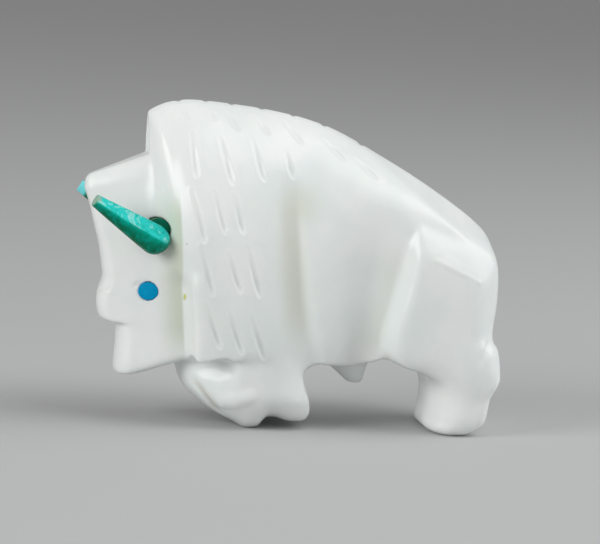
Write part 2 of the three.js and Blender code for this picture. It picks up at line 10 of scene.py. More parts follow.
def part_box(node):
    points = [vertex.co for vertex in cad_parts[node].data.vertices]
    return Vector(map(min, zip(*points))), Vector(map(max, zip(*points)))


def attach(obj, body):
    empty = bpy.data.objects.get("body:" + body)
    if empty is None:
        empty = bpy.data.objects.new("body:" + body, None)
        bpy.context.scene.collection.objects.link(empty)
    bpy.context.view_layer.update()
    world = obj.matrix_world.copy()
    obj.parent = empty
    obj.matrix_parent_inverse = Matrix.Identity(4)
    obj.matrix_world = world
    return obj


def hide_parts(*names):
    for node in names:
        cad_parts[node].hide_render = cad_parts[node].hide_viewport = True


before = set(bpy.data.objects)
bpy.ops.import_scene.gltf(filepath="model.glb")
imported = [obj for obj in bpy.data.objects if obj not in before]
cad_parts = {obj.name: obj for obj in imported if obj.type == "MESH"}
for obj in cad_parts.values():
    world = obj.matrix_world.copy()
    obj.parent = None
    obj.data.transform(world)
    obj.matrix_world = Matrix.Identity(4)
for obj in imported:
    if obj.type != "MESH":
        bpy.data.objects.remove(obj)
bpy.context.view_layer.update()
mm = 0.001

# The free form is given in shares of the carving's length, half width and height, as the solids are.
# bodyEnds: the shares of the length at which the stone's own box starts and ends.
bodyEnds = [-0.006, 0.984]
bodyLow, bodyHigh = (np.array(corner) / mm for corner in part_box("body"))
bodySize = bodyHigh - bodyLow
sides = {"left": -1, "right": 1}        # the sign of y on each side
tiny = 1e-9


def along(share):
    return bodyLow[0] + (share - bodyEnds[0]) / (bodyEnds[1] - bodyEnds[0]) * bodySize[0]


def up(share):
    return share * bodySize[2]


def out(share):
    return share * bodySize[1] / 2


def place(s, y, q):
    return np.array([along(s), y, up(q)])


def between(a, b, f):
    return a + (b - a) * f


def awayFrom(grid, centre):  # how far points lie from centre along x, y and z
    return [v - c for v, c in zip(grid, centre)]


def dot(parts, way):
    return parts[0] * way[0] + parts[1] * way[1] + parts[2] * way[2]


def lengthOf(parts):
    return np.sqrt(parts[0] ** 2 + parts[1] ** 2 + parts[2] ** 2)


def through(points):  # a smooth curve through [t, value] points, level past its ends
    ts, values = np.array(points, float).T
    slopes = np.diff(values) / np.diff(ts)
    before, after = slopes[:-1], slopes[1:]
    total = np.where(before * after > 0, before + after, 1)
    inner = np.where(before * after > 0, 2 * before * after / total, 0)
    tangents = np.concatenate([slopes[:1], inner, slopes[-1:]])

    def curve(t):
        t = np.clip(t, ts[0], ts[-1])
        i = np.clip(np.searchsorted(ts, t) - 1, 0, len(ts) - 2)
        span = ts[i + 1] - ts[i]
        f = (t - ts[i]) / span
        rise = (f**3 - 2 * f**2 + f) * span * tangents[i] + (f**3 - f**2) * span * tangents[i + 1]
        return values[i] + (3 * f**2 - 2 * f**3) * (values[i + 1] - values[i]) + rise

    return curve


def throughRows(rows, finer):  # more rows, on smooth curves through the given ones
    rows = np.array(rows, float)
    steps = np.linspace(0, len(rows) - 1, (len(rows) - 1) * finer + 1)
    return np.stack([through(list(enumerate(column)))(steps) for column in rows.T], 1)


# Sculpting field: distance to the surface in mm at every point of a grid, negative in the stone.
sculpting = {
    "voxel": 0.15,          # mm between the grid's points
    "margin": 1.2,          # of the grid round the stone, mm
    "band": 12,             # how far from the surface distances are kept, in voxels
    "rub": 0.11,            # how far the polish rounds every edge, mm
    "kernel": 2.5,          # how far a blur looks, in reaches
    "clearance": 1.0,       # of the window round a tool, mm
    "crestClearance": 3.0,
    "skinReach": 2,         # voxels over which the skin's facing is taken, for tools
    "shadeReach": 1.2,      # and for normals
    "triangles": 190000,
}


class Field:
    def __init__(self, low, high, voxel, band):
        self.low = np.array(low, float)
        self.voxel = voxel
        self.band = band
        self.shape = tuple(np.ceil((np.array(high) - self.low) / voxel).astype(int) + 1)
        self.values = np.full(self.shape, band * voxel, np.float32)

    def loft(self, rings):  # the field of a skin over rings of points, closed with a fan at each end
        rings = np.asarray(rings)
        count, sides = rings.shape[:2]
        points = np.concatenate([rings.reshape(-1, 3), rings[[0, -1]].mean(1)])
        i = np.arange(sides)
        j = (i + 1) % sides
        base = np.arange(count - 1)[:, None] * sides
        quads = np.stack([base + i, base + j, base + sides + j, base + sides + i], 2).reshape(-1, 4)
        last = (count - 1) * sides
        fans = np.concatenate([
            np.stack([np.full(sides, count * sides), j, i], 1),
            np.stack([np.full(sides, count * sides + 1), last + i, last + j], 1),
        ])
        made = vdb.FloatGrid.createLevelSetFromPolygons(
            ((points - self.low) / self.voxel).astype(np.float32),
            triangles=fans.astype(np.uint32), quads=quads.astype(np.uint32),
            transform=vdb.createLinearTransform(1.0), halfWidth=self.band)
        values = np.empty(self.shape, np.float32)
        made.copyToArray(values)
        return values * self.voxel

    def axes(self):
        return [self.low[k] + self.voxel * np.arange(self.shape[k]) for k in range(3)]

    def window(self, low, high):  # the part of the grid between two corners, and its x, y and z
        first = np.clip(np.floor((np.minimum(low, high) - self.low) / self.voxel).astype(int), 0, None)
        last = np.ceil((np.maximum(low, high) - self.low) / self.voxel).astype(int) + 1
        cut = tuple(slice(a, min(b, n)) for a, b, n in zip(first, last, self.shape))
        x, y, z = (axis[part] for axis, part in zip(self.axes(), cut))
        return cut, (x[:, None, None], y[None, :, None], z[None, None, :])

    def around(self, points, reach):  # the window that reaches that far past some points
        return self.window(np.min(points, 0) - reach, np.max(points, 0) + reach)

    def awayFrom(self, centre):
        return awayFrom(np.meshgrid(*self.axes(), indexing="ij"), centre)

    def sample(self, points):  # the field at any points, between those of the grid
        at = (np.asarray(points) - self.low) / self.voxel
        i = np.clip(np.floor(at).astype(int), 0, np.array(self.shape) - 2)
        f = at - i
        total = np.zeros(len(at))
        for corner in np.ndindex(2, 2, 2):
            weight = np.prod(np.where(corner, f, 1 - f), 1)
            total += weight * self.values[tuple((i + corner).T)]
        return total

    def facing(self, points, reach):  # the way the surface faces at each point
        slope = np.stack([self.sample(points + step) - self.sample(points - step)
                          for step in np.eye(3) * reach], 1)
        return slope / (np.linalg.norm(slope, axis=1, keepdims=True) + tiny)

    def blurred(self, cut, reach):
        half = math.ceil(sculpting["kernel"] * reach / self.voxel)
        taps = np.arange(2 * half + 1)
        weights = np.exp(-0.5 * ((taps - half) * self.voxel / reach) ** 2)
        weights /= weights.sum()
        soft = self.values[cut]
        for axis in range(3):
            length = soft.shape[axis]
            padded = np.pad(soft, [(half, half) if k == axis else (0, 0) for k in range(3)], mode="edge")
            parts = [[slice(t, t + length) if k == axis else slice(None) for k in range(3)] for t in taps]
            soft = sum(weight * padded[tuple(part)] for weight, part in zip(weights, parts))
        return soft.astype(np.float32)

    def rub(self, reach):  # rounds every edge, as polishing does
        self.values = self.blurred((slice(None),) * 3, reach)

    def wear(self, low, high, reach, fade):  # rounds the edges between two corners
        cut, (x, _, z) = self.window(low, high)
        share = 1
        for line, a, b in ((x, low[0], high[0]), (z, low[2], high[2])):
            f = np.clip(np.minimum(line - a, b - line) / fade, 0, 1)
            share = share * f * f * (3 - 2 * f)
        self.values[cut] = between(self.values[cut], self.blurred(cut, reach), share).astype(np.float32)

    def flank(self, x, z, side):  # where a level line across the body meets the skin, at x and z
        y = self.axes()[1]
        line = self.sample(np.stack([np.full(len(y), x), y, np.full(len(y), z)], 1))
        inside = np.nonzero(line < 0)[0]
        if not len(inside):
            return 0.0
        a = inside[-1] if side > 0 else inside[0]
        b = a + (1 if side > 0 else -1)
        return y[a] + (y[b] - y[a]) * line[a] / (line[a] - line[b])

    def mesh(self, name, triangles=None):  # the surface as an object, with about so many triangles
        grid = vdb.FloatGrid(self.band * self.voxel)
        grid.copyFromArray(self.values)
        points, quads = grid.convertToQuads(isovalue=0.0)
        data = bpy.data.meshes.new(name)
        data.from_pydata((points * self.voxel + self.low) * mm, [], quads.tolist())
        data.validate()
        piece = bpy.data.objects.new(name, data)
        bpy.context.scene.collection.objects.link(piece)
        if triangles:
            fewer = piece.modifiers.new("fewer", "DECIMATE")
            fewer.ratio = min(1.0, triangles / (2 * len(quads)))
            seen = piece.evaluated_get(bpy.context.evaluated_depsgraph_get())
            light = bpy.data.meshes.new_from_object(seen)
            piece.modifiers.clear()
            piece.data = light
            light.name = name
        piece.data.shade_smooth()
        points = np.empty(3 * len(piece.data.vertices), np.float32)
        piece.data.vertices.foreach_get("co", points)
        facing = self.facing(points.reshape(-1, 3) / mm, sculpting["shadeReach"] * self.voxel)
        piece.data.normals_split_custom_set_from_vertices(facing)
        return piece


def joinSoft(a, b, radius):  # two masses run together with a fillet, radius a number or a field
    h = np.clip(0.5 + (a - b) / (2 * radius), 0, 1)
    return between(a, b, h) - radius * h * (1 - h)


def cutSoft(a, b, radius):  # b taken out of a, with a soft lip
    return -joinSoft(-a, b, radius)


# Back and belly line, then the sections of the mane and barrel, nose end first. line: the section's
# place at heights from its foot (0) to its ridge (1). form: half width where it is widest, the height
# where that is, how square it turns in above, how flat the bevel by the ridge lies, and how far its foot
# draws in.
barrel = {
    "ridge": [[0.13, 0.957], [0.15, 0.974], [0.18, 0.99], [0.23, 1], [0.35, 0.99], [0.469, 0.968],
              [0.55, 0.94], [0.59, 0.919], [0.69, 0.852], [0.79, 0.779], [0.892, 0.693], [0.948, 0.638],
              [0.964, 0.605], [0.972, 0.55], [0.9765, 0.47]],
    "underside": [[0.13, 0.21], [0.25, 0.205], [0.3, 0.212], [0.42, 0.222], [0.47, 0.19], [0.505, 0.177],
                  [0.53, 0.198], [0.553, 0.21], [0.585, 0.206], [0.62, 0.2], [0.68, 0.215],
                  [0.73, 0.236], [0.9, 0.24], [0.94, 0.27], [0.96, 0.31], [0.971, 0.355], [0.98, 0.4]],
    "sections": [
        {"line": [[0, 0.235], [0.3, 0.21], [0.62, 0.158], [0.85, 0.134], [1, 0.131]],
         "form": [0.36, 0.4, 2, 9, 0.06]},
        {"line": [[0, 0.251], [0.3, 0.231], [0.4, 0.208], [0.63, 0.183], [0.85, 0.155], [1, 0.134]],
         "form": [0.8, 0.38, 2, 9, 0.06]},
        {"line": [[0, 0.26], [0.29, 0.24], [0.4, 0.22], [0.63, 0.198], [0.81, 0.183], [0.9, 0.162],
                  [1, 0.142]],
         "form": [0.97, 0.36, 2, 9, 0.06]},
        {"line": [[0, 0.281], [0.29, 0.263], [0.4, 0.246], [0.63, 0.225], [0.81, 0.208], [1, 0.168]],
         "form": [0.995, 0.36, 2, 9, 0.06]},
        {"line": [[0, 0.367], [0.5, 0.333], [1, 0.278]], "form": [1, 0.36, 2, 9, 0.06]},
        {"line": [[0, 0.509], [0.28, 0.478], [0.56, 0.46], [1, 0.411]], "form": [0.93, 0.35, 2.1, 8, 0.1]},
        {"line": [[0, 0.589], [0.38, 0.518], [0.6, 0.493], [1, 0.489]], "form": [0.86, 0.35, 2.3, 6, 0.22]},
        {"line": [[0, 0.633], [0.5, 0.647], [1, 0.633]], "form": [0.8, 0.4, 3.2, 3.4, 0.28]},
        {"line": [[0, 0.707], [0.5, 0.727], [1, 0.767]], "form": [0.78, 0.45, 4.2, 2.2, 0.2]},
        {"line": [[0, 0.878], [1, 0.878]], "form": [0.76, 0.5, 5, 2.05, 0.1]},
        {"line": [[0, 0.94], [1, 0.946]], "form": [0.74, 0.5, 5, 2.4, 0.1]},
        {"line": [[0, 0.962], [1, 0.966]], "form": [0.68, 0.5, 4, 3, 0.15]},
        {"line": [[0, 0.971], [1, 0.972]], "form": [0.56, 0.5, 3, 4, 0.2]},
        {"line": [[0, 0.9765], [1, 0.9765]], "form": [0.38, 0.5, 2, 5, 0.3]},
    ],
    "crest": 0.3,          # half width of the flat along the ridge, mm
    "bevelBlend": 0.35,    # how softly the bevel runs into the side, mm
    "rings": 12,           # rings for each section
    "foot": [0, 0.012],    # heights of the points at the foot
    "aboveFoot": 0.03,     # and of the first of the others
    "levels": 80,          # how many others there are
    "turnPower": 2 / 3,
    "hemPower": 3,
    "footWidth": 0.92,     # share of its half width that the lowest point keeps
    # hollows rubbed into the flank, behind the mane and in front of the haunch, by height
    "hollows": [
        {"line": [[0, 0.508], [0.28, 0.479], [0.56, 0.458], [1, 0.44]],
         "depth": [[0, 0.18], [0.3, 0.17], [0.55, 0.13], [0.68, 0.06], [0.78, 0]],
         "before": [[0, 0.07], [0.4, 0.055], [0.7, 0.035]],
         "after": [[0, 0.05], [0.4, 0.036], [0.7, 0.03]],
         "steep": 3.5},
        {"line": [[0, 0.65], [0.5, 0.664], [1, 0.7]],
         "depth": [[0, 0.16], [0.15, 0.2], [0.4, 0.17], [0.6, 0.09], [0.78, 0]],
         "before": [[0, 0.06], [0.5, 0.085], [1, 0.08]],
         "after": [[0, 0.06], [0.5, 0.06], [1, 0.05]],
         "steep": 2},
    ],
}
ridge = through(barrel["ridge"])
underside = through(barrel["underside"])


def bothSides(half):  # closes half a ring, or many, with its mirror image
    return np.concatenate([half, half[..., ::-1, :] * [1, -1, 1]], -2)


def barrelRings():
    sections = barrel["sections"]
    u = np.concatenate([barrel["foot"], np.linspace(barrel["aboveFoot"], 1, barrel["levels"])])
    s = throughRows([through(section["line"])(u) for section in sections], barrel["rings"])
    forms = throughRows([section["form"] for section in sections], barrel["rings"])
    width, widest, shoulder, roof, hem = (column[:, None] for column in forms.T)
    above = np.maximum(0, (u - widest) / (1 - widest))
    below = np.maximum(0, 1 - u / widest)
    turnIn = np.maximum(0, 1 - above**shoulder) ** barrel["turnPower"]
    half = width * (turnIn - hem * below ** barrel["hemPower"])
    for hollow in barrel["hollows"]:
        line, depth, before, after = (
            through(hollow[k])(u) for k in ("line", "depth", "before", "after"))
        past = s - line
        fade = np.where(past < 0, (past / before) ** 2, np.abs(past / after) ** hollow["steep"])
        half = half - depth * np.exp(-fade)
    tall = ridge(s) - underside(s)
    bevel = barrel["crest"] + roof * up(tall * (1 - u))
    half = np.maximum(0, joinSoft(out(half), bevel, barrel["bevelBlend"]))
    half[:, 0] *= barrel["footWidth"]
    z = up(underside(s) + tall * u)
    return bothSides(np.stack([along(s), half, z], 2))


# The head: slices from chin to brow. Columns: the face line's along and up, half width at the face and
# at the neck, and the rise of the slice towards the neck.
head = {
    "slices": [
        [0.115, 0.1425, 0.36, 0.5, 0.38], [0.0985, 0.143, 0.4, 0.58, 0.35],
        [0.092, 0.151, 0.42, 0.62, 0.32], [0.0905, 0.166, 0.43, 0.64, 0.28],
        [0.091, 0.2, 0.43, 0.65, 0.18], [0.0925, 0.25, 0.43, 0.65, 0.08],
        [0.0915, 0.3045, 0.43, 0.65, 0.02], [0.059, 0.311, 0.36, 0.65, 0.02],
        [0.0485, 0.3175, 0.335, 0.65, 0], [0.0395, 0.364, 0.315, 0.65, 0],
        [0.041, 0.398, 0.315, 0.65, 0], [0.048, 0.424, 0.335, 0.65, 0],
        [0.0515, 0.446, 0.34, 0.65, 0], [0.048, 0.474, 0.33, 0.65, 0.02],
        [0.039, 0.536, 0.3, 0.64, 0.06], [0.0245, 0.597, 0.26, 0.61, 0.12],
        [0.0145, 0.644, 0.23, 0.57, 0.18], [0.001, 0.693, 0.19, 0.49, 0.27],
        [-0.006, 0.719, 0.16, 0.43, 0.34], [-0.005, 0.742, 0.12, 0.34, 0.39],
        [0.002, 0.757, 0.08, 0.22, 0.41],
    ],
    "neck": 0.3,           # where the slices end inside the mane
    "sweep": 2,            # over 1 for cheeks that bulge
    "round": 0.45,         # how far back the front's rounding reaches, in half widths
    "turn": 0.9,           # how much of a quarter turn it makes
    "middle": 0.08,        # share of the half width where the front ring starts
    "lean": 0.143,         # how far the rounded front stands before the given line, in half widths
    "upright": 0.9,        # half width at which it keeps to that line, mm
    "frontPoints": 12,
    "cheekPoints": 14,
    "cheekStart": 0.06,    # of the way from the front's rounding to the neck
    "finer": 4,
    # towards the mane: up, and radius in mm
    "fillets": [[0.4, 0.2], [0.5, 0.5], [0.6, 1.6], [0.7, 1.8], [0.78, 0.8], [0.82, 0.4]],
}


def headRings():
    rings = []
    for faceAlong, faceUp, faceHalf, neckHalf, rise in throughRows(head["slices"], head["finer"]):
        half = out(faceHalf)
        radius = head["round"] * half
        face = along(faceAlong) - head["lean"] * (half - head["upright"])
        turns = np.linspace(0, head["turn"], head["frontPoints"]) * math.pi / 2
        x = face + radius * (1 - np.cos(turns))
        y = half * between(head["middle"], 1, np.sin(turns))
        f = np.linspace(head["cheekStart"], 1, head["cheekPoints"])
        x = np.concatenate([x, between(face + radius, along(head["neck"]), f)])
        y = np.concatenate([y, between(half, out(neckHalf), 1 - (1 - f) ** head["sweep"])])
        side = np.stack([x, y, up(faceUp) + rise * (x - face)], 1)
        rings.append(bothSides(side))
    return rings


# The haunches and the hind legs: slices from below, each across the whole body. Columns: up, front and
# back along, half width, front and back corner radius, and the rise of the slice towards the rump.
hindquarters = {
    "haunch": [
        [0.217, 0.733, 0.92, 0.79, 0.14, 0.2, -0.3], [0.225, 0.715, 0.935, 0.83, 0.16, 0.22, -0.31],
        [0.236, 0.704, 0.943, 0.86, 0.18, 0.24, -0.29], [0.254, 0.699, 0.945, 0.88, 0.19, 0.22, -0.22],
        [0.275, 0.696, 0.945, 0.895, 0.2, 0.22, -0.12], [0.31, 0.6955, 0.948, 0.91, 0.2, 0.26, -0.04],
        [0.35, 0.7, 0.955, 0.925, 0.2, 0.34, 0], [0.4, 0.708, 0.958, 0.94, 0.2, 0.4, -0.05],
        [0.462, 0.7195, 0.954, 0.95, 0.2, 0.42, -0.15], [0.532, 0.7302, 0.955, 0.955, 0.19, 0.42, -0.29],
        [0.587, 0.738, 0.957, 0.95, 0.17, 0.42, -0.42], [0.63, 0.744, 0.956, 0.87, 0.13, 0.4, -0.4],
        [0.668, 0.75, 0.95, 0.76, 0.1, 0.34, -0.37], [0.69, 0.758, 0.94, 0.66, 0.08, 0.28, -0.35],
    ],
    "legs": [
        [0, 0.845, 0.908, 0.62, 0.19, 0.1, 0], [0.008, 0.83, 0.923, 0.69, 0.28, 0.12, 0],
        [0.025, 0.821, 0.942, 0.75, 0.36, 0.14, 0], [0.05, 0.823, 0.956, 0.79, 0.42, 0.14, 0],
        [0.085, 0.828, 0.96, 0.815, 0.42, 0.14, 0], [0.12, 0.83, 0.963, 0.83, 0.42, 0.14, 0],
        [0.143, 0.8315, 0.97, 0.845, 0.42, 0.14, 0], [0.165, 0.832, 0.979, 0.86, 0.42, 0.15, 0],
        [0.19, 0.833, 0.984, 0.87, 0.42, 0.18, 0], [0.22, 0.84, 0.984, 0.88, 0.42, 0.24, 0],
        [0.257, 0.843, 0.982, 0.88, 0.4, 0.3, 0], [0.281, 0.848, 0.977, 0.86, 0.32, 0.33, 0],
        [0.295, 0.856, 0.962, 0.8, 0.2, 0.3, 0],
    ],
    "flatness": {"haunch": 0.6, "legs": 0},     # of the front corners: 0 round, 1 a chamfer
    "fillet": {"haunch": 0.3, "legs": 1.5},     # towards the rest of the stone, mm
    "pivot": 0.74,         # a sloping slice keeps its height here
    "cornerDepth": 1.5,    # the front corners are deeper across the body than along it
    "cornerPoints": 13,
    "finer": 4,
}


def legRings(part):
    rings = []
    flatness = hindquarters["flatness"][part]
    for row in throughRows(hindquarters[part], hindquarters["finer"]):
        level, front, back, half, frontCorner, backCorner, rise = row
        a, b = out(frontCorner), out(backCorner)
        f = np.linspace(0, 1, hindquarters["cornerPoints"])
        turns = f * math.pi / 2
        ahead = a * between(1 - np.cos(turns), f, flatness)
        inset = hindquarters["cornerDepth"] * a * between(1 - np.sin(turns), 1 - f, flatness)
        x = np.concatenate([along(front) + ahead, along(back) - b * (1 - np.sin(turns))])
        y = np.concatenate([out(half) - inset, out(half) - b * (1 - np.cos(turns))])
        side = np.stack([x, y, up(level) + rise * (x - along(hindquarters["pivot"]))], 1)
        rings.append(bothSides(side))
    return rings


# The forelegs: cross slices from under the chin to the heels. Columns: along, up of the underside and
# of the top, half width, how much wider it is at the mane's foot, and how square the slice is.
forelegs = {
    "slices": [
        [0.226, 0.182, 0.28, 0.26, 0, 0.9], [0.234, 0.148, 0.28, 0.38, 0, 0.85],
        [0.248, 0.111, 0.28, 0.5, 0, 0.8], [0.272, 0.082, 0.28, 0.62, 0, 0.72],
        [0.3, 0.054, 0.28, 0.72, 0, 0.66], [0.332, 0.03, 0.28, 0.78, 0.1, 0.62],
        [0.366, 0.01, 0.28, 0.81, 0.22, 0.58], [0.392, -0.008, 0.28, 0.81, 0.22, 0.56],
        [0.415, -0.006, 0.28, 0.8, 0.2, 0.56], [0.43, 0.014, 0.28, 0.78, 0.19, 0.58],
        [0.44, 0.03, 0.28, 0.77, 0.18, 0.58], [0.458, 0.03, 0.28, 0.77, 0.14, 0.58],
        [0.48, 0.02, 0.28, 0.78, 0.08, 0.58], [0.5, 0.016, 0.27, 0.78, 0.03, 0.58],
        [0.511, 0.016, 0.23, 0.77, 0, 0.6], [0.52, 0.019, 0.165, 0.75, 0, 0.6],
        [0.53, 0.024, 0.125, 0.71, 0, 0.62], [0.5365, 0.045, 0.085, 0.64, 0, 0.66],
    ],
    "bulge": 0.12,         # how much narrower a leg is at the ground than where it is widest
    "widestUp": 0.1,
    "maneFootUp": 0.22,
    "fillet": 0.6,
    "finer": 3,
    "sides": 64,
}


def forelegRings():
    rings = []
    angles = (np.arange(forelegs["sides"]) + 0.5) / forelegs["sides"] * 2 * math.pi
    for s, bottom, top, half, flare, squareness in throughRows(forelegs["slices"], forelegs["finer"]):
        level = np.sign(np.sin(angles)) * np.abs(np.sin(angles)) ** squareness
        across = np.sign(np.cos(angles)) * np.abs(np.cos(angles)) ** squareness
        z = (up(bottom) + up(top)) / 2 + (up(top) - up(bottom)) / 2 * level
        bulge = 1 - forelegs["bulge"] * np.abs(z / up(forelegs["widestUp"]) - 1)
        wide = out(half) * bulge + out(flare) * np.minimum(1, z / up(forelegs["maneFootUp"])) ** 2
        ring = [np.full(len(angles), along(s)), wide * across, np.maximum(0, z)]
        rings.append(np.stack(ring, 1))
    return rings


# The cone under the belly, as along, up and half width at its two ends.
underbelly = {
    "root": [0.625, 0.235, 0.37],
    "tip": [0.661, 0.134, 0.1],
    "fillet": 1.0,
    "sides": 32,
    "rings": 12,
}
# The saw cuts that part each pair of legs: their ends along, and width at the ground and depth in mm.
legCuts = {
    "pairs": [{"from": 0.2, "to": 0.56, "width": 1.5, "depth": 4.6},
              {"from": 0.88, "to": 1.02, "width": 2.0, "depth": 3.2}],
    "lip": 0.25,
}


def coneRings():
    angles = np.linspace(0, 2 * math.pi, underbelly["sides"], endpoint=False)
    rings = []
    for f in np.linspace(0, 1, underbelly["rings"]):
        s, q, half = between(np.array(underbelly["tip"]), np.array(underbelly["root"]), f)
        ring = [along(s) + out(half) * np.cos(angles), out(half) * np.sin(angles), up(q) + 0 * angles]
        rings.append(np.stack(ring, 1))
    return rings


def partLegs(field):
    clear = sculpting["clearance"]
    for pair in legCuts["pairs"]:
        start, end = along(pair["from"]), along(pair["to"])
        half, depth = pair["width"] / 2, pair["depth"]
        lean = math.cos(math.atan2(half, depth))
        low, high = [start, -half - clear, -clear], [end, half + clear, depth + clear]
        cut, (x, y, z) = field.window(low, high)
        wedge = (np.abs(y) - half * (1 - z / depth)) * lean + 0 * x
        wedge = np.maximum(wedge, np.maximum(start - x, x - end))
        field.values[cut] = cutSoft(field.values[cut], wedge.astype(np.float32), legCuts["lip"])


# Fur: rows of strokes as [start along, start up, end along, end up], the same on both sides. Each goes
# in lightly at the top and is deepest near its foot. Widths and depths are in mm.
fur = {
    "rows": [
        {"width": 0.74, "depth": 0.14, "strokes": [
            [0.204, 0.979, 0.218, 0.946], [0.255, 0.979, 0.281, 0.947], [0.307, 0.97, 0.334, 0.919],
            [0.377, 0.962, 0.407, 0.911], [0.446, 0.948, 0.485, 0.888], [0.541, 0.898, 0.587, 0.842],
            [0.614, 0.847, 0.665, 0.791]]},
        {"width": 0.68, "depth": 0.22, "strokes": [
            [0.224, 0.905, 0.235, 0.782], [0.29, 0.895, 0.319, 0.765], [0.367, 0.893, 0.393, 0.779],
            [0.446, 0.87, 0.463, 0.788],
            [0.225, 0.74, 0.257, 0.592], [0.275, 0.738, 0.304, 0.619], [0.321, 0.728, 0.346, 0.621],
            [0.249, 0.573, 0.282, 0.431], [0.311, 0.553, 0.347, 0.441], [0.354, 0.579, 0.392, 0.43],
            [0.265, 0.397, 0.307, 0.268], [0.317, 0.387, 0.359, 0.252], [0.371, 0.366, 0.413, 0.236]]},
    ],
    "press": [[0, 0], [0.2, 0.25], [0.5, 0.72], [0.75, 1], [0.9, 0.85], [1, 0.3]],
    "rim": 0.04,           # how far a stroke's edge stands up
    "rimWidth": 0.22,
    "lip": 0.07,           # how far its edge is rounded
    "steps": 13,           # points along a stroke
    "nicks": [0.2, 0.265, 0.327, 0.399, 0.475, 0.55, 0.642],       # along, on the ridge
    "nickRadius": 0.45,
    "nickDepth": 0.16,
    "nickReach": 0.9,      # to each side
}

# Other cuts, as [along, up] points on the skin, with the tool's radius, its depth and how far the edge is
# rounded, in mm. They are on both sides where no side is named.
cuts = [
    {"name": "forelegParting", "radius": 1.0, "depth": 0.12, "lip": 0.2,
     "line": [[0.258, 0.15], [0.271, 0.127], [0.283, 0.105], [0.302, 0.078], [0.327, 0.05]]},
    {"name": "hollowUnderMane", "radius": 1.4, "depth": 0.13, "lip": 0.3,
     "line": [[0.276, 0.192], [0.297, 0.188], [0.318, 0.186], [0.338, 0.188]]},
    {"name": "hockCrease", "radius": 0.6, "depth": 0.1, "lip": 0.2,
     "line": [[0.9478, 0.3027], [0.94, 0.284], [0.9328, 0.2675], [0.929, 0.25]]},
    {"name": "thighCrease", "radius": 0.5, "depth": 0.2, "lip": 0.1,
     "line": [[0.795, 0.188], [0.8088, 0.183], [0.8189, 0.174]]},
    {"name": "nostril", "radius": 0.2, "depth": 0.08, "lip": 0.07,
     "line": [[0.036, 0.399], [0.0439, 0.4078], [0.06, 0.4142]]},
    {"name": "browScratch", "sides": ["left"], "radius": 0.15, "depth": 0.04, "lip": 0.03,
     "line": [[0.1436, 0.7191], [0.1502, 0.7287], [0.1569, 0.734], [0.1705, 0.7408]]},
    {"name": "eyeChip", "sides": ["left"], "radius": 0.5, "depth": 0.16, "lip": 0.07,
     "line": [[0.1118, 0.4287], [0.1205, 0.4365], [0.1295, 0.4413]]},
]
# The part of a half wave that a cut's depth follows.
cutWave = [0.15, 0.85]
# Crests that the polishing left standing, in the same way, with their height and their fillet.
crests = [
    {"name": "knee", "radius": 1.0, "height": 0.18, "blend": 0.4,
     "line": [[0.328, 0.084], [0.3487, 0.091], [0.366, 0.099], [0.384, 0.11]]},
    {"name": "haunchLine", "radius": 0.35, "height": 0.07, "blend": 0.14,
     "line": [[0.802, 0.5579], [0.8306, 0.5429], [0.8508, 0.5305], [0.8708, 0.5179], [0.9113, 0.4932]]},
]
# Edges worn softer than the rest. box: along and up of two corners. The reach of the wear and its fade at
# the box's border are in mm.
worn = [
    {"name": "maneFront", "box": [0.138, 0.43, 0.3, 0.99], "reach": 1.6, "fade": 2.4},
    {"name": "maneFoot", "box": [0.16, 0.12, 0.3, 0.52], "reach": 0.25, "fade": 1.2},
    {"name": "haunchFront", "box": [0.69, 0.15, 0.84, 0.64], "reach": 0.5, "fade": 1.4},
    {"name": "hindLegTop", "box": [0.76, 0.05, 0.95, 0.38], "reach": 0.9, "fade": 2.2},
    {"name": "forelegBack", "box": [0.35, 0.02, 0.51, 0.3], "reach": 0.5, "fade": 1.2},
    {"name": "rump", "box": [0.86, 0.28, 1.0, 0.7], "reach": 0.9, "fade": 1.6},
    {"name": "jawLine", "box": [0.1, 0.25, 0.19, 0.37], "reach": 0.6, "fade": 0.9},
    {"name": "coneTip", "box": [0.6, 0.1, 0.7, 0.2], "reach": 0.3, "fade": 0.5},
]


def lineDistance(grid, points):
    nearest = np.inf
    for a, b in zip(points[:-1], points[1:]):
        run = b - a
        away = awayFrom(grid, a)
        f = np.clip(dot(away, run) / (run @ run), 0, 1)
        nearest = np.minimum(nearest, lengthOf([part - f * step for part, step in zip(away, run)]))
    return nearest


def gouge(field, points, radius, rim, lip):  # a round-bottomed stroke along points, with a raised rim
    cut, grid = field.around(points, radius + sculpting["clearance"])
    nearest = lineDistance(grid, points) - radius
    raised = field.values[cut] - rim * np.exp(-((nearest / fur["rimWidth"]) ** 2))
    field.values[cut] = cutSoft(raised, nearest.astype(np.float32), lip)


def skinAt(field, s, q, side):  # a point on the skin, and the way the skin faces there
    x, z = along(s), up(q)
    skin = np.array([x, field.flank(x, z, side), z])
    return skin, field.facing(skin[None], sculpting["skinReach"] * field.voxel)[0]


def skinLine(field, line, side, sunk):  # points on the skin, set into it by sunk
    points = []
    for (s, q), depth in zip(line, sunk):
        skin, facing = skinAt(field, s, q, side)
        points.append(skin - facing * depth)
    return np.array(points)


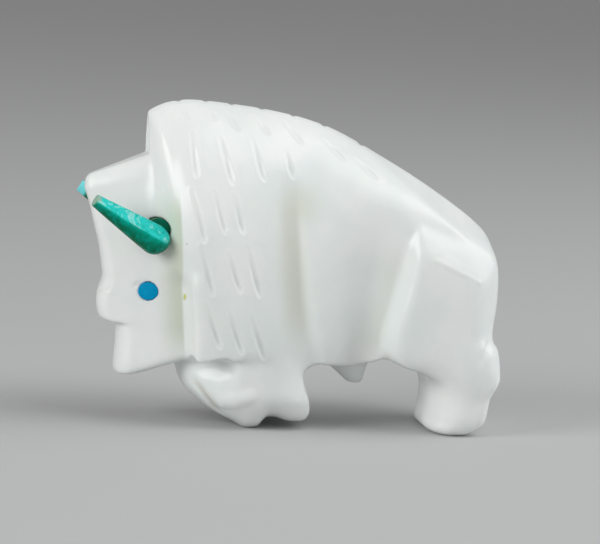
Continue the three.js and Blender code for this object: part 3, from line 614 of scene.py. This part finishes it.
def carveFur(field):
    press = through(fur["press"])
    f = np.linspace(0, 1, fur["steps"])
    strokes = []
    for side in sides.values():
        for row in fur["rows"]:
            # a round tool of this radius leaves the row's width at its depth
            radius = (row["width"] ** 2 / 4 + row["depth"] ** 2) / (2 * row["depth"])
            for stroke in row["strokes"]:
                start, end = np.array(stroke[:2]), np.array(stroke[2:])
                line = [between(start, end, g) for g in f]
                strokes.append((skinLine(field, line, side, row["depth"] * press(f) - radius), radius))
    for points, radius in strokes:
        gouge(field, points, radius, fur["rim"], fur["lip"])
    for s in fur["nicks"]:
        top = place(s, 0, ridge(s)) + [0, 0, fur["nickRadius"] - fur["nickDepth"]]
        reach = np.array([0, fur["nickReach"], 0])
        gouge(field, [top - reach, top + reach], fur["nickRadius"], 0, fur["lip"])


def finishForm(field):  # worn edges, crests and the cuts besides the fur
    clear = sculpting["clearance"]
    for patch in worn:
        s0, q0, s1, q1 = patch["box"]
        low = [along(s0), bodyLow[1] - clear, up(q0)]
        high = [along(s1), bodyHigh[1] + clear, up(q1)]
        field.wear(low, high, patch["reach"], patch["fade"])
    for crest in crests:
        for side in sides.values():
            sunk = np.full(len(crest["line"]), crest["radius"] - crest["height"])
            points = skinLine(field, crest["line"], side, sunk)
            cut, grid = field.around(points, sculpting["crestClearance"])
            bead = lineDistance(grid, points) - crest["radius"]
            field.values[cut] = joinSoft(field.values[cut], bead.astype(np.float32), crest["blend"])
    for mark in cuts:
        for name in mark.get("sides", sides):
            press = np.sin(np.linspace(*cutWave, len(mark["line"])) * math.pi)
            sunk = mark["depth"] * press - mark["radius"]
            points = skinLine(field, mark["line"], sides[name], sunk)
            gouge(field, points, mark["radius"], 0, mark["lip"])


# Where the horns and eyes are seated on each side, and the radius and depth of their holes in mm.
seats = {
    "horn": {"along": 0.157, "up": 0.608, "hole": 1.27, "depth": 1.66},
    "eye": {"along": 0.143, "up": 0.416, "hole": 1.0, "depth": 1.2},
}
drillStart = 2.0        # how far outside the skin a drill starts, mm


def drill(field, centre, aim, radius, depth):
    ends = [centre + aim * drillStart, centre - aim * depth]
    cut, grid = field.around(ends, radius + sculpting["clearance"])
    away = awayFrom(grid, centre)
    height = dot(away, aim)
    square = dot(away, away) - height**2
    hole = np.maximum(np.sqrt(np.maximum(square, 0)) - radius, -depth - height)
    field.values[cut] = np.maximum(field.values[cut], -hole.astype(np.float32))


def carveStone():
    margin = sculpting["margin"]
    field = Field(bodyLow - margin, bodyHigh + margin, sculpting["voxel"], sculpting["band"])
    field.values = field.loft(barrelRings())
    q = field.axes()[2] / bodySize[2]
    cheekFillet = through(head["fillets"])(q)[None, None, :]
    masses = [(headRings(), cheekFillet)]
    masses += [(legRings(part), fillet) for part, fillet in hindquarters["fillet"].items()]
    masses += [(forelegRings(), forelegs["fillet"]), (coneRings(), underbelly["fillet"])]
    for rings, fillet in masses:
        field.values = joinSoft(field.values, field.loft(rings), fillet).astype(np.float32)
    print("masses joined", field.shape)
    partLegs(field)
    field.rub(sculpting["rub"])
    cheeks = {}
    for name, side in sides.items():
        for kind, seat in seats.items():
            cheeks[name, kind] = skinAt(field, seat["along"], seat["up"], side)
    finishForm(field)
    carveFur(field)
    for (name, kind), (skin, facing) in cheeks.items():
        aim = np.array([0, sides[name], 0]) if kind == "horn" else facing
        drill(field, skin, aim, seats[kind]["hole"], seats[kind]["depth"])
    spotPlaces = {spot["name"]: skinAt(field, *spot["at"], sides["left"])[0] for spot in stainsAndShade["spots"]}
    print("fur, legs and seats cut")
    stone = field.mesh("stone_body", sculpting["triangles"])
    print("stone mesh", len(stone.data.polygons), "faces")
    return stone, cheeks, spotPlaces


# Shader building: a wire is one output socket, and arithmetic on it adds Math nodes.
class Wire:
    def __init__(self, maker, socket):
        self.maker = maker
        self.socket = socket

    def maths(self, operation, *others, swap=False):
        values = [*others, self] if swap else [self, *others]
        return self.maker.node("ShaderNodeMath", {"operation": operation}, dict(enumerate(values)))

    def __add__(self, other):
        return self.maths("ADD", other)

    __radd__ = __add__

    def __sub__(self, other):
        return self.maths("SUBTRACT", other)

    def __rsub__(self, other):
        return self.maths("SUBTRACT", other, swap=True)

    def __mul__(self, other):
        return self.maths("MULTIPLY", other)

    __rmul__ = __mul__

    def __truediv__(self, other):
        return self.maths("DIVIDE", other)

    def __rtruediv__(self, other):
        return self.maths("DIVIDE", other, swap=True)


class Finish:
    def __init__(self, name):
        self.material = bpy.data.materials.new(name)
        self.material.use_nodes = True
        self.tree = self.material.node_tree
        self.tree.nodes.clear()
        self.place = self.node("ShaderNodeTexCoord", output="Object")

    def node(self, kind, settings=None, inputs=None, output=0):
        made = self.tree.nodes.new(kind)
        for name, value in (settings or {}).items():
            setattr(made, name, value)
        for name, value in (inputs or {}).items():
            if isinstance(value, Wire):
                self.tree.links.new(value.socket, made.inputs[name])
            else:
                socket = made.inputs[name]
                socket.default_value = (*value, 1) if socket.type == "RGBA" else value
        return Wire(self, made.outputs[output]) if len(made.outputs) else None

    def mixed(self, factor, a, b):  # a colour between two colours
        return self.node("ShaderNodeMix", {"data_type": "RGBA"}, {0: factor, 6: a, 7: b}, 2)

    def parts(self, vector):  # x, y and z of a vector
        split = self.node("ShaderNodeSeparateXYZ", inputs={"Vector": vector})
        return [Wire(self, socket) for socket in split.socket.node.outputs]

    def noise(self, scale, detail, rough, warp=0):
        return self.node("ShaderNodeTexNoise", {}, {"Vector": self.place, "Scale": scale,
                         "Detail": detail, "Roughness": rough, "Distortion": warp}, "Fac")

    def ramp(self, value, low, high, a=0.0, b=1.0):  # value from low to high, turned into a to b
        return self.node("ShaderNodeMapRange", {"interpolation_type": "SMOOTHSTEP"},
                         {"Value": value, "From Min": low, "From Max": high, "To Min": a, "To Max": b})

    def spot(self, centre, radius, soft):  # 1 inside a ball round centre, fading to 0 past radius
        away = self.node("ShaderNodeVectorMath", {"operation": "DISTANCE"},
                         {0: self.place, 1: [c * mm for c in centre]}, "Value")
        return self.ramp(away, radius * mm, (radius + soft) * mm, 1, 0)

    def finish(self, colour, roughness, constants=None, normal=None):
        inputs = {"Base Color": colour, "Roughness": roughness, **(constants or {})}
        if normal:
            inputs["Normal"] = normal
        shader = self.node("ShaderNodeBsdfPrincipled", {}, inputs, "BSDF")
        self.node("ShaderNodeOutputMaterial", {}, {"Surface": shader})
        return self.material


# The white stone, with painted shade in bands along its hollows and creases, beside a line from
# [along, up] to [along, up], reaching before and after it, and spots on the left side, in mm: marks that
# years and glue have left, and painted shade by the thigh crease and atop the groove. Clouds, grain,
# mottle and veins are noise, as scale, detail, roughness and distortion.
stainsAndShade = {
    "stone": (0.825, 0.87, 0.85), "stonePale": (0.885, 0.905, 0.89),
    "clouds": (110, 4, 0.55, 0.5),
    "pale": (0.35, 0.65),   # cloud values between which the stone turns pale
    "patchy": 0.5,          # how much the painted shade follows the clouds
    "grain": (2500, 3, 0.6),
    "dull": (0.35, 0.7),    # grain values between which it turns dull
    "roughness": 0.24, "duller": 0.03,
    "bump": {"Strength": 0.1, "Distance": 0.00002},
    "shader": {"Subsurface Weight": 0.4, "Subsurface Radius": (1.0, 0.95, 0.85),
               "Subsurface Scale": 0.0007, "IOR": 1.5, "Specular IOR Level": 0.42},
    # painted shade: darker and yellow-green in the corner behind the cheek, in the groove and in the hollow
    # before the haunch, and brown in the foreleg parting
    "shadeBands": [
        {"name": "behindCheek", "line": [[0.2325, 0.2], [0.193, 0.76]], "reach": [0.062, 0.006],
         "fade": 0.12, "amount": 0.55, "colour": (0.54, 0.59, 0.4)},
        {"name": "groove", "line": [[0.505, 0.23], [0.45, 0.75]], "reach": [0.06, 0.045],
         "fade": 0.16, "amount": 0.36, "colour": (0.6, 0.61, 0.44)},
        {"name": "beforeHaunch", "line": [[0.672, 0.18], [0.725, 0.62]], "reach": [0.05, 0.02],
         "fade": 0.12, "amount": 0.3, "colour": (0.6, 0.62, 0.5)},
        {"name": "forelegParting", "line": [[0.26, 0.156], [0.326, 0.045]], "reach": [0.012, 0.018],
         "fade": 0.03, "amount": 0.35, "colour": (0.45, 0.38, 0.3)},
    ],
    "spots": [
        {"name": "yellow", "at": [0.2265, 0.41], "radius": 0.12, "soft": 0.22, "amount": 0.8,
         "colour": (0.62, 0.66, 0.12)},
        {"name": "yellowBelow", "at": [0.2262, 0.403], "radius": 0.1, "soft": 0.2, "amount": 0.7,
         "colour": (0.6, 0.62, 0.15)},
        {"name": "brown", "at": [0.2301, 0.2055], "radius": 0.05, "soft": 0.12, "amount": 0.8,
         "colour": (0.25, 0.18, 0.12)},
        {"name": "speck", "at": [0.2179, 0.5778], "radius": 0.04, "soft": 0.1, "amount": 0.5,
         "colour": (0.35, 0.33, 0.2)},
        # painted shade: by the thigh crease, and at the top of the groove
        {"name": "thighShade", "at": [0.809, 0.18], "radius": 0.15, "soft": 0.7, "amount": 0.3,
         "colour": (0.5, 0.5, 0.38)},
        {"name": "grooveTopShade", "at": [0.48, 0.71], "radius": 0.5, "soft": 2.8, "amount": 0.22,
         "colour": (0.6, 0.6, 0.38)},
    ],
}


def whiteStone():
    f = Finish("white_stone")
    x, _, z = f.parts(f.place)
    s = (x / mm - along(0)) / (along(1) - along(0))
    q = z / (up(1) * mm)
    clouds = f.noise(*stainsAndShade["clouds"])
    patchy = (1 - stainsAndShade["patchy"] / 2) + stainsAndShade["patchy"] * clouds
    colour = f.mixed(f.ramp(clouds, *stainsAndShade["pale"]), stainsAndShade["stone"], stainsAndShade["stonePale"])
    # painted shade in bands along the hollows and creases
    for shadeBand in stainsAndShade["shadeBands"]:
        (s0, q0), (s1, q1) = shadeBand["line"]
        off = s - (s0 + (q - q0) * ((s1 - s0) / (q1 - q0)))
        before, after = shadeBand["reach"]
        low, high = sorted((q0, q1))
        share = f.ramp(off, -before, 0) * f.ramp(off, 0, after, 1, 0)
        share = share * f.ramp(q, low, low + shadeBand["fade"])
        share = share * f.ramp(q, high - shadeBand["fade"], high, 1, 0)
        colour = f.mixed(share * shadeBand["amount"] * patchy, colour, shadeBand["colour"])
    # spots: marks that age and glue have left, and painted shade by the thigh crease and at the groove's
    # top
    for spot in stainsAndShade["spots"]:
        share = f.spot(spotPlaces[spot["name"]], spot["radius"], spot["soft"])
        colour = f.mixed(share * spot["amount"], colour, spot["colour"])
    grain = f.noise(*stainsAndShade["grain"])
    roughness = stainsAndShade["roughness"] + stainsAndShade["duller"] * f.ramp(grain, *stainsAndShade["dull"])
    bump = f.node("ShaderNodeBump", {}, {**stainsAndShade["bump"], "Height": grain}, "Normal")
    return f.finish(colour, roughness, stainsAndShade["shader"], bump)


# The horns' green. Each pair holds the values of noise or slope between which a colour turns to the next.
greens = {
    "cyan": (0.0, 0.55, 0.47), "light": (0.015, 0.66, 0.6), "pale": (0.3, 0.8, 0.74),
    "full": (0.0, 0.35, 0.24), "shadedGreen": (0.0, 0.13, 0.055), "root": (0.0, 0.07, 0.025),
    "cream": (0.36, 0.5, 0.38), "glow": (0.25, 0.9, 0.95),
    "mottle": (1100, 5, 0.6, 0.6),
    "veins": (500, 3, 0.7, 1.2),
    "onFlat": (0.66, 0.98), "flatMottle": 0.3,
    "shadeToFull": (-0.6, 0.5), "shadeVeins": 0.5,
    "fullToCyan": (0.48, 0.62), "cyanShare": 0.25,
    "cyanToLight": (0.36, 0.5), "lightToPale": (0.53, 0.65),
    "rootShadeEnds": (0.85, 1.35), "rootShadeShare": 0.9,     # painted shade on the peg, fading out between these distances from the skin in mm
    "cutFade": 0.35, "cutShare": 0.85,
    "roughness": 0.16, "rougher": 0.12,
    "shader": {"IOR": 1.5, "Specular IOR Level": 0.1},
}


def greenHorn(ends):
    f = Finish("green_turquoise")
    aside = f.parts(f.place)[1].maths("ABSOLUTE") / mm
    nx, ny, nz = f.parts(f.node("ShaderNodeTexCoord", output="Normal"))
    mottle = f.noise(*greens["mottle"])
    veins = f.noise(*greens["veins"])
    flat = [float(part) for part in ends["left"]["flat"]]
    facing = nx * flat[0] + ny.maths("ABSOLUTE") * abs(flat[1]) + nz * flat[2]
    # the flat, which faces up, is painted in paler greens: partly the turquoise's own colour, partly
    # painted light
    onFlat = f.ramp(facing + greens["flatMottle"] * (mottle - 0.5), *greens["onFlat"])
    # darker green where the horn faces down: partly the turquoise's own deep green, partly painted shade
    below = f.ramp(nz + greens["shadeVeins"] * veins, *greens["shadeToFull"])
    under = f.mixed(below, greens["shadedGreen"], greens["full"])
    under = f.mixed(f.ramp(mottle, *greens["fullToCyan"]) * greens["cyanShare"], under, greens["cyan"])
    over = f.mixed(f.ramp(mottle, *greens["cyanToLight"]), greens["cyan"], greens["light"])
    over = f.mixed(f.ramp(veins, *greens["lightToPale"]), over, greens["pale"])
    colour = f.mixed(onFlat, under, over)
    # painted shade on the peg where it goes into the head
    skin = abs(float(cheeks["left", "horn"][0][1]))
    first, last = (skin + end for end in greens["rootShadeEnds"])
    root = f.ramp(aside, first, last, 1, 0)
    colour = f.mixed(root * greens["rootShadeShare"], colour, greens["root"])
    # the near tip's cut is cream; the far tip gets a painted glow
    for name, end in ends.items():
        made = horns["tips"][name]
        cut = f.spot(end["tip"], made["cutReach"], greens["cutFade"])
        colour = f.mixed(cut * greens["cutShare"], colour, greens[made["cutOrGlowColour"]])
    return f.finish(colour, greens["roughness"] + greens["rougher"] * mottle, greens["shader"])


blues = {
    "deep": (0.0, 0.27, 0.52), "sky": (0.002, 0.33, 0.6),
    "mottle": (1500, 4, 0.6),
    "deepToSky": (0.3, 0.7),
    "roughness": 0.2, "rougher": 0.1,
    "shader": {"IOR": 1.5, "Specular IOR Level": 0.06},
}


def blueEye():
    f = Finish("blue_turquoise")
    mottle = f.noise(*blues["mottle"])
    colour = f.mixed(f.ramp(mottle, *blues["deepToSky"]), blues["deep"], blues["sky"])
    return f.finish(colour, blues["roughness"] + blues["rougher"] * mottle, blues["shader"])


# The horns: a peg in the head, a round elbow, a straight taper with a flat along its top, a cut tip.
horns = {
    "elbowRadius": 1.62,
    "tipRadius": 0.73,
    "swell": 1.15,          # over 1 for a taper that bulges
    "standoff": 0.12,
    "ahead": 0.47,          # of the elbow past the peg, mm
    "below": 0.81,
    # where each ends, as along, out and up, and the colour of its cut, on the far tip a painted glow, and
    # how far that reaches in mm
    "tips": {
        "left": {"at": [0.004, 0.86, 0.7], "cutOrGlowColour": "cream", "cutReach": 0.45},
        "right": {"at": [-0.0015, 0.86, 0.6995], "cutOrGlowColour": "glow", "cutReach": 1.1},
    },
    "pegRadius": 1.25, "pegDepth": 1.6, "pegProud": 1.0,
    "flatAt": [0.68, 0.45], # how far from the axis the flat lies, at elbow and tip, in radii
    "flatTurn": 56,         # how far the flat is turned up from facing sideways, degrees
    "flatBlend": 0.3,       # how far the edges are rounded, mm
    "tipBlend": 0.06,
    "pegBlend": 0.3,
    "fillet": 0.12,         # between peg and elbow
    "pastTip": 1.2,         # how far the taper is worked out, in lengths
    "margin": 0.5, "voxel": 0.055, "band": 8,
}


def makeHorn(name, side):
    seat = cheeks[name, "horn"][0]
    radius, margin = horns["elbowRadius"], horns["margin"]
    aside = np.array([0, side, 0])
    elbow = seat + aside * (radius + horns["standoff"]) - [horns["ahead"], 0, horns["below"]]
    s, y, q = horns["tips"][name]["at"]
    tip = place(s, side * out(y), q)
    length = np.linalg.norm(tip - elbow)
    forward = (tip - elbow) / length
    corners = np.array([seat - aside * horns["pegDepth"], elbow, tip])
    low, high = corners.min(0) - radius - margin, corners.max(0) + radius + margin
    field = Field(low, high, horns["voxel"], horns["band"])
    away = field.awayFrom(elbow)
    run = dot(away, forward)
    share = np.clip(run / length, 0, horns["pastTip"])
    thick = between(radius, horns["tipRadius"], share ** horns["swell"])
    near = [part - share * length * step for part, step in zip(away, forward)]
    skin = lengthOf(near) - thick
    turn = math.radians(horns["flatTurn"])
    lift = np.cross(np.cross(forward, [0, 0, 1]), forward)
    lift /= np.linalg.norm(lift)
    outward = aside - forward * (aside @ forward)
    outward /= np.linalg.norm(outward)
    flat = lift * math.sin(turn) + outward * math.cos(turn)
    cutFlat = dot(near, flat) - between(*horns["flatAt"], share) * thick
    skin = cutSoft(skin, -cutFlat, horns["flatBlend"])
    skin = cutSoft(skin, -(run - length), horns["tipBlend"])
    x, y, z = field.awayFrom(seat)
    across = np.sqrt(x**2 + z**2) - horns["pegRadius"]
    above = y * side
    peg = np.maximum(across, -above - horns["pegDepth"])
    peg = cutSoft(peg, horns["pegProud"] - above, horns["pegBlend"])
    field.values = joinSoft(skin, peg, horns["fillet"]).astype(np.float32)
    return field.mesh(f"{name}_turquoise_horn"), tip, flat


# The eyes: oval plugs with a slight dome.
eyes = {
    "halfLong": 1.08, "halfTall": 0.94,
    "depth": 1.1, "proud": 0.05, "dome": 0.08,
    "rimBlend": 0.08, "backBlend": 0.05,
    "reach": 1.8,           # of the grid from the seat, mm
    "voxel": 0.05, "band": 8,
}


def makeEye(name):
    seat, facing = cheeks[name, "eye"]
    field = Field(seat - eyes["reach"], seat + eyes["reach"], eyes["voxel"], eyes["band"])
    away = field.awayFrom(seat)
    high = dot(away, facing)
    level = np.array([0, 0, 1]) - facing * facing[2]
    level /= np.linalg.norm(level)
    long = np.cross(level, facing)
    share = np.sqrt((dot(away, long) / eyes["halfLong"]) ** 2 + (dot(away, level) / eyes["halfTall"]) ** 2)
    rim = (share - 1) * eyes["halfTall"]
    top = high - eyes["proud"] - eyes["dome"] * (1 - share**2)
    domed = cutSoft(rim, -top, eyes["rimBlend"])
    field.values = cutSoft(domed, eyes["depth"] + high, eyes["backBlend"]).astype(np.float32)
    return field.mesh(f"{name}_turquoise_eye")


stone, cheeks, spotPlaces = carveStone()
pieces = [(stone, "body", "white_stone", whiteStone())]
hornPieces, hornEnds = {}, {}
for name, side in sides.items():
    hornPieces[name], tip, flat = makeHorn(name, side)
    hornEnds[name] = {"tip": tip, "flat": flat}
hornFinish, eyeFinish = greenHorn(hornEnds), blueEye()
for name in sides:
    pieces.append((hornPieces[name], f"{name}_horn", "green_turquoise", hornFinish))
    pieces.append((makeEye(name), f"{name}_eye", "blue_turquoise", eyeFinish))
for piece, node, slot, finish in pieces:
    piece.data.materials.clear()
    piece.data.materials.append(finish)
    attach(piece, "root")
    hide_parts(node)
print("horns and eyes made")


# Stage: a plain pale floor, soft studio light, and the camera at the photograph's angle.
stage = {
    "floorRadius": 3.0,             # m
    "floorSides": 96,
    "floorColour": (0.52, 0.52, 0.52),
    "floorRoughness": 0.9,
    "world": 0.36,                  # light from all round
    "azimuth": -10.0, "elevation": 7.5, "roll": 3.5,
    "distance": 320.0,              # from the target, mm
    "target": (1.145, 0.0, 16.25),  # mm
    "pixelsPerMm": 9.4,             # at the target
    "imageWidth": 600,
    "sensor": 36,                   # mm
    "clip": (0.01, 20),             # m
}
lights = [
    # name, place in mm, size in mm, watts, colour
    ("key", (-420, -250, 210), 320, 1.34, (1.0, 1.0, 1.0)),
    ("top", (200, -180, 460), 300, 0.5, (0.97, 0.99, 1.0)),
    ("side", (430, -60, 250), 460, 1.2, (0.97, 0.99, 1.0)),
]


def makeStage():
    scene = bpy.context.scene
    bpy.ops.mesh.primitive_circle_add(
        vertices=stage["floorSides"], radius=stage["floorRadius"], fill_type="NGON")
    floor = bpy.context.object
    floor.name = "floor"
    paper = Finish("floor_paper").finish(stage["floorColour"], stage["floorRoughness"])
    floor.data.materials.append(paper)
    for name, where, size, watts, colour in lights:
        lamp = bpy.data.lights.new(name, "AREA")
        lamp.shape = "DISK"
        lamp.size = size * mm
        lamp.energy = watts
        lamp.color = colour
        holder = bpy.data.objects.new(name, lamp)
        holder.location = Vector(where) * mm
        aim = Vector(stage["target"]) * mm - holder.location
        holder.rotation_euler = aim.to_track_quat("-Z", "Y").to_euler()
        scene.collection.objects.link(holder)
    world = bpy.data.worlds.new("studio")
    world.use_nodes = True
    background = world.node_tree.nodes["Background"].inputs
    background["Color"].default_value = (1, 1, 1, 1)
    background["Strength"].default_value = stage["world"]
    scene.world = world
    scene.view_settings.view_transform = "Standard"

    a, e, r = (math.radians(stage[k]) for k in ("azimuth", "elevation", "roll"))
    back = Vector((math.sin(a) * math.cos(e), -math.cos(a) * math.cos(e), math.sin(e)))
    right = Vector((0, 0, 1)).cross(back).normalized()
    top = back.cross(right)
    rolledRight = right * math.cos(r) + top * math.sin(r)
    rolledTop = top * math.cos(r) - right * math.sin(r)
    camera = bpy.data.cameras.new("camera")
    camera.sensor_width = stage["sensor"]
    camera.sensor_fit = "HORIZONTAL"
    camera.lens = camera.sensor_width * stage["pixelsPerMm"] * stage["distance"] / stage["imageWidth"]
    camera.clip_start, camera.clip_end = stage["clip"]
    holder = bpy.data.objects.new("camera", camera)
    turned = Matrix((rolledRight, rolledTop, back)).transposed().to_4x4()
    turned.translation = (Vector(stage["target"]) + back * stage["distance"]) * mm
    holder.matrix_world = turned
    scene.collection.objects.link(holder)
    scene.camera = holder


makeStage()
